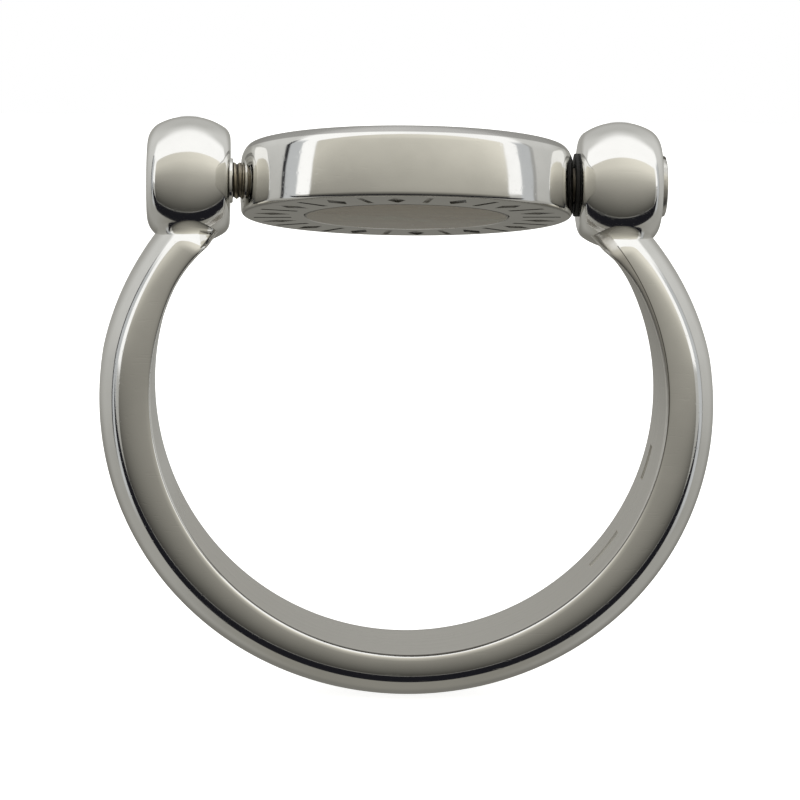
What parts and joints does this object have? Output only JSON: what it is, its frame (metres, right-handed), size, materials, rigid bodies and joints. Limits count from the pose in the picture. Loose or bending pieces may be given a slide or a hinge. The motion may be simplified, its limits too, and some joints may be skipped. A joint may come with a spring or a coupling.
{
  "type": "flip ring",
  "caption": "Open D-section finger ring whose ball terminals hold a thick round head with an inlay in each face, swivelling on a slotted screw.",
  "frame": {"origin": "centre of the finger opening, midway along the finger", "axes": "+Y along the finger, +Z from the opening towards the head, +X towards the terminal that holds the screw's head; the head turns about a line parallel to X"},
  "size_m": [0.0206, 0.0112, 0.0195],
  "materials": {
    "band_metal": "polished white precious metal, finely scratched where it meets the finger",
    "polished_metal": "mirror-polished white precious metal",
    "screw_metal": "machined and slightly tarnished",
    "washer_black": "matte black polymer",
    "pearl": "cream mother-of-pearl, polished flat",
    "onyx": "black stone, polished flat"
  },
  "bodies": {
    "band": {"shank": "band_metal", "left_terminal": "polished_metal", "right_terminal": "polished_metal", "pivot_screw": "screw_metal", "friction_washer": "washer_black"},
    "head": {"head_frame": "polished_metal", "lower_inlay": "pearl", "upper_inlay": "onyx"}
  },
  "joints": [
    {"name": "head_swivel", "type": "hinge", "parent": "band", "child": "head", "pos_m": [-0.0002, 0, 0.00711], "axis": [1, 0, 0], "continuous": true}
  ]
}
